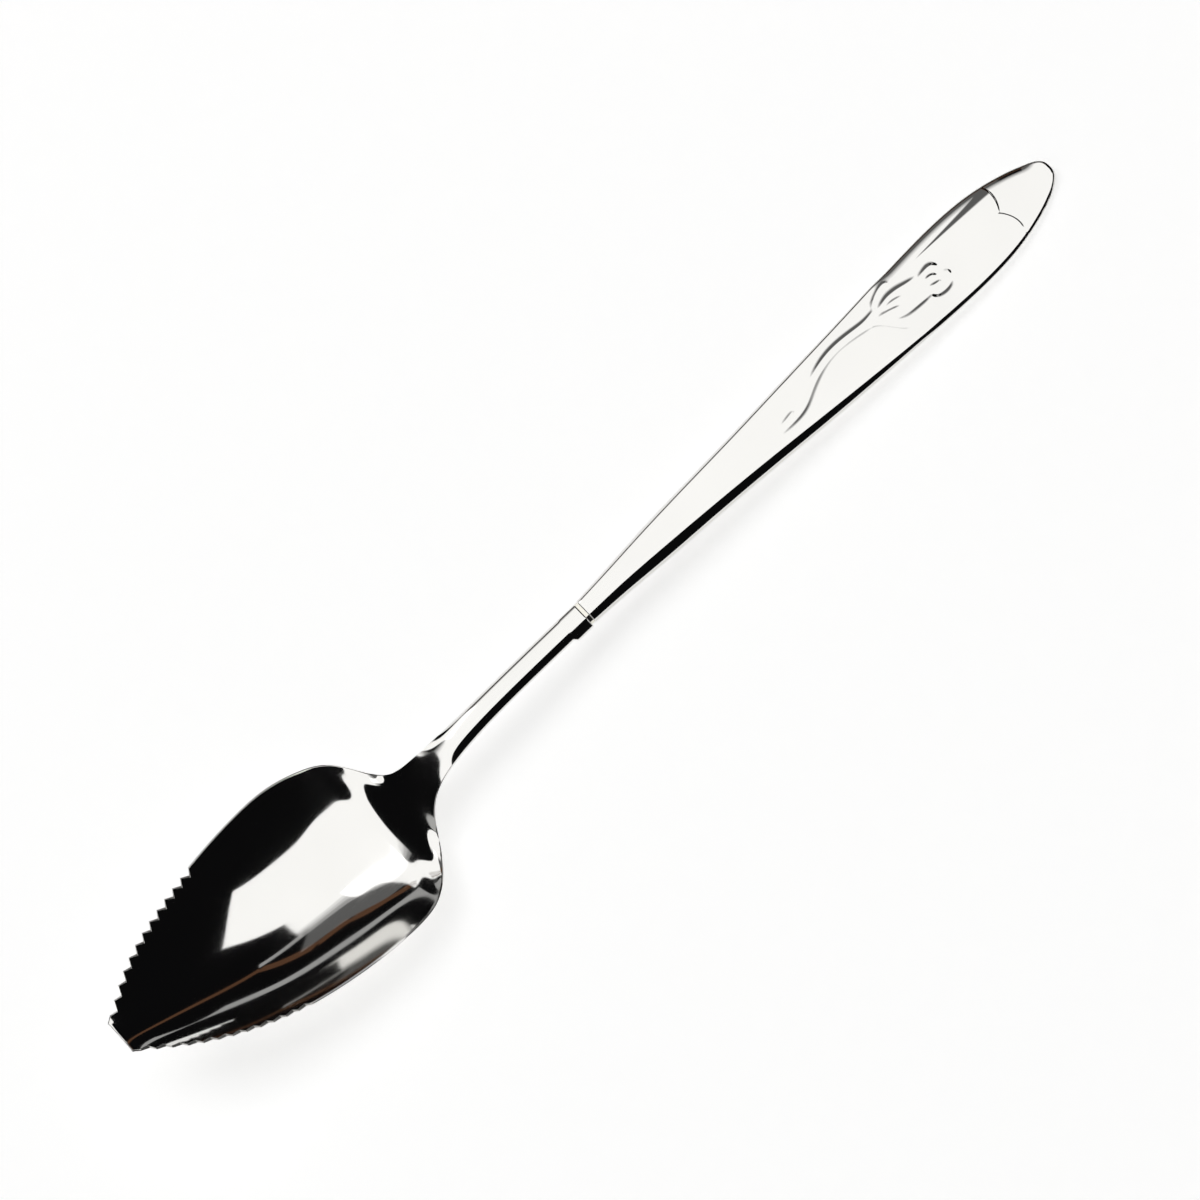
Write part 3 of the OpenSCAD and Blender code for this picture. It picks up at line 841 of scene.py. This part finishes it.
def softbox(name, centre, facing, size, turn, radiance, colour="#FFFFFF"):
    """A flat soft lamp: its middle, the way it faces, its size, and its turn in its own plane."""
    lamp = bpy.data.lights.new(name, "AREA")
    lamp.shape = "RECTANGLE"
    lamp.size, lamp.size_y = size
    lamp.energy = radiance * np.pi * lamp.size * lamp.size_y
    lamp.color = srgb(colour)[:3]
    obj = bpy.data.objects.new(name, lamp)
    scene.collection.objects.link(obj)
    z = -Vector(facing).normalized()
    x = Vector((1, 0, 0)) if abs(z.z) > 0.99 else z.cross(Vector((0, 0, 1))).normalized()
    flat = Matrix((x, z.cross(x), z)).transposed().to_4x4()
    turned = Matrix.Rotation(np.radians(turn), 4, "Z")
    obj.matrix_world = Matrix.Translation(centre) @ flat @ turned
    print(name, "at", [round(v, 2) for v in obj.location], f"{lamp.energy:.2f} W")
    return obj


overhead, far, facing_down, facing_near = 2.5, 2.5, (0, 0, -1), (0, -1, 0)
softbox("overhead_softbox", (0.023, 0.635, overhead), facing_down, (3.29, 1.73), -28, 1.3)
# Start and end of each panel towards the far side, and its radiance: together they fade out
far_panels = ((1.125, 1.875, 1.3), (1.875, 2.0, 1.0), (2.0, 2.15, 0.6), (2.15, 2.35, 0.3))
for i, (start, end, radiance) in enumerate(far_panels):
    middle = (-0.42, (start + end) / 2, overhead)
    softbox(f"far_panel_{i}", middle, facing_down, (2.3, end - start), 0, radiance)
softbox("far_window", (-0.8, far, 2.3), facing_near, (1.0, 2.6), 0, 1.3)
softbox("far_wall", (0.2, far + 0.05, 2.5), facing_near, (1.0, 1.4), 0, 0.13)
softbox("far_streak", (1.25, far, 2.65), facing_near, (0.95, 0.28), 20, 0.4)
softbox("far_low_strip", (0.55, far, 0.75), facing_near, (1.9, 0.25), 0, 0.4)
# A warm shelf that runs along the far side: its corners, to the right and up
shelf = [(2.65, 1.63), (1.58, 2.2), (0.45, 1.6), (0.05, 1.7), (-0.5, 1.13)]
shelf_thick = 0.26
for i, (a, b) in enumerate(zip(shelf[:-1], shelf[1:])):
    run, rise = b[0] - a[0], b[1] - a[1]
    middle = ((a[0] + b[0]) / 2, far, (a[1] + b[1]) / 2)
    softbox(f"far_shelf_{i}", middle, facing_near, (np.hypot(run, rise), shelf_thick),
            -np.degrees(np.arctan2(rise, run)), 0.24, "#B27E5C")
# Pale walls where only other views look. Angles in degrees: the middle, counted from the near side
# round to the right, the spread, and the lowest and highest above the table
room = 2.5
for name, middle, spread, low, high, radiance in (
        ("left_wall", 291, 88, 5, 58, 0.5), ("near_low_wall", 357, 45, 2, 9, 0.6),
        ("right_low_wall_0", 42, 45, 2, 18, 0.6), ("right_low_wall_1", 87, 45, 2, 18, 0.6)):
    out = Vector((np.sin(np.radians(middle)), -np.cos(np.radians(middle)), 0))
    bottom, top_edge = room * np.tan(np.radians([low, high]))
    softbox(name, out * room + Vector((0, 0, (bottom + top_edge) / 2)), -out,
            (2 * room * np.tan(np.radians(spread / 2)), top_edge - bottom), 0, radiance)

# %% [markdown]
# ## Camera
# The spoon is seen from its side, about 58 degrees above the table, through a long lens that
# leaves little perspective. The camera is rolled so that the handle points to the upper right of
# a square picture.

# %% Camera
view_height = np.radians(58)
# The camera's axes follow the spoon's own long axis, which falls a little towards the handle's end
axis_tilt = 0.0542498
roll_along, roll_down = 0.721, 0.693  # the spoon's axis runs up to the right at about 44 degrees
distance, picture_width, sensor = 1.2, 0.15506, 36
look_at = Vector((-1.1, 0, 5.347)) * MM
shift_along, shift_down = 2.468, 0.225

along = Vector((np.cos(axis_tilt), 0, -np.sin(axis_tilt)))
up = Vector((np.sin(axis_tilt), 0, np.cos(axis_tilt)))
down = Vector((0, -np.sin(view_height), 0)) - up * np.cos(view_height)
towards = Vector((0, -np.cos(view_height), 0)) + up * np.sin(view_height)
right = roll_along * along + roll_down * down
upright = roll_down * along - roll_along * down
look_at += along * shift_along * MM + down * shift_down * MM
lens = bpy.data.cameras.new("camera")
lens.sensor_width = sensor
lens.lens = sensor * distance / picture_width
camera = bpy.data.objects.new("camera", lens)
scene.collection.objects.link(camera)
axes = Matrix((right.normalized(), upright.normalized(), towards.normalized()))
camera.matrix_world = (
    Matrix.Translation(look_at + towards * distance) @ axes.transposed().to_4x4())
print(f"camera {distance} m away, {lens.lens:.0f} mm lens")
scene.camera = camera
scene.view_settings.view_transform = "Standard"
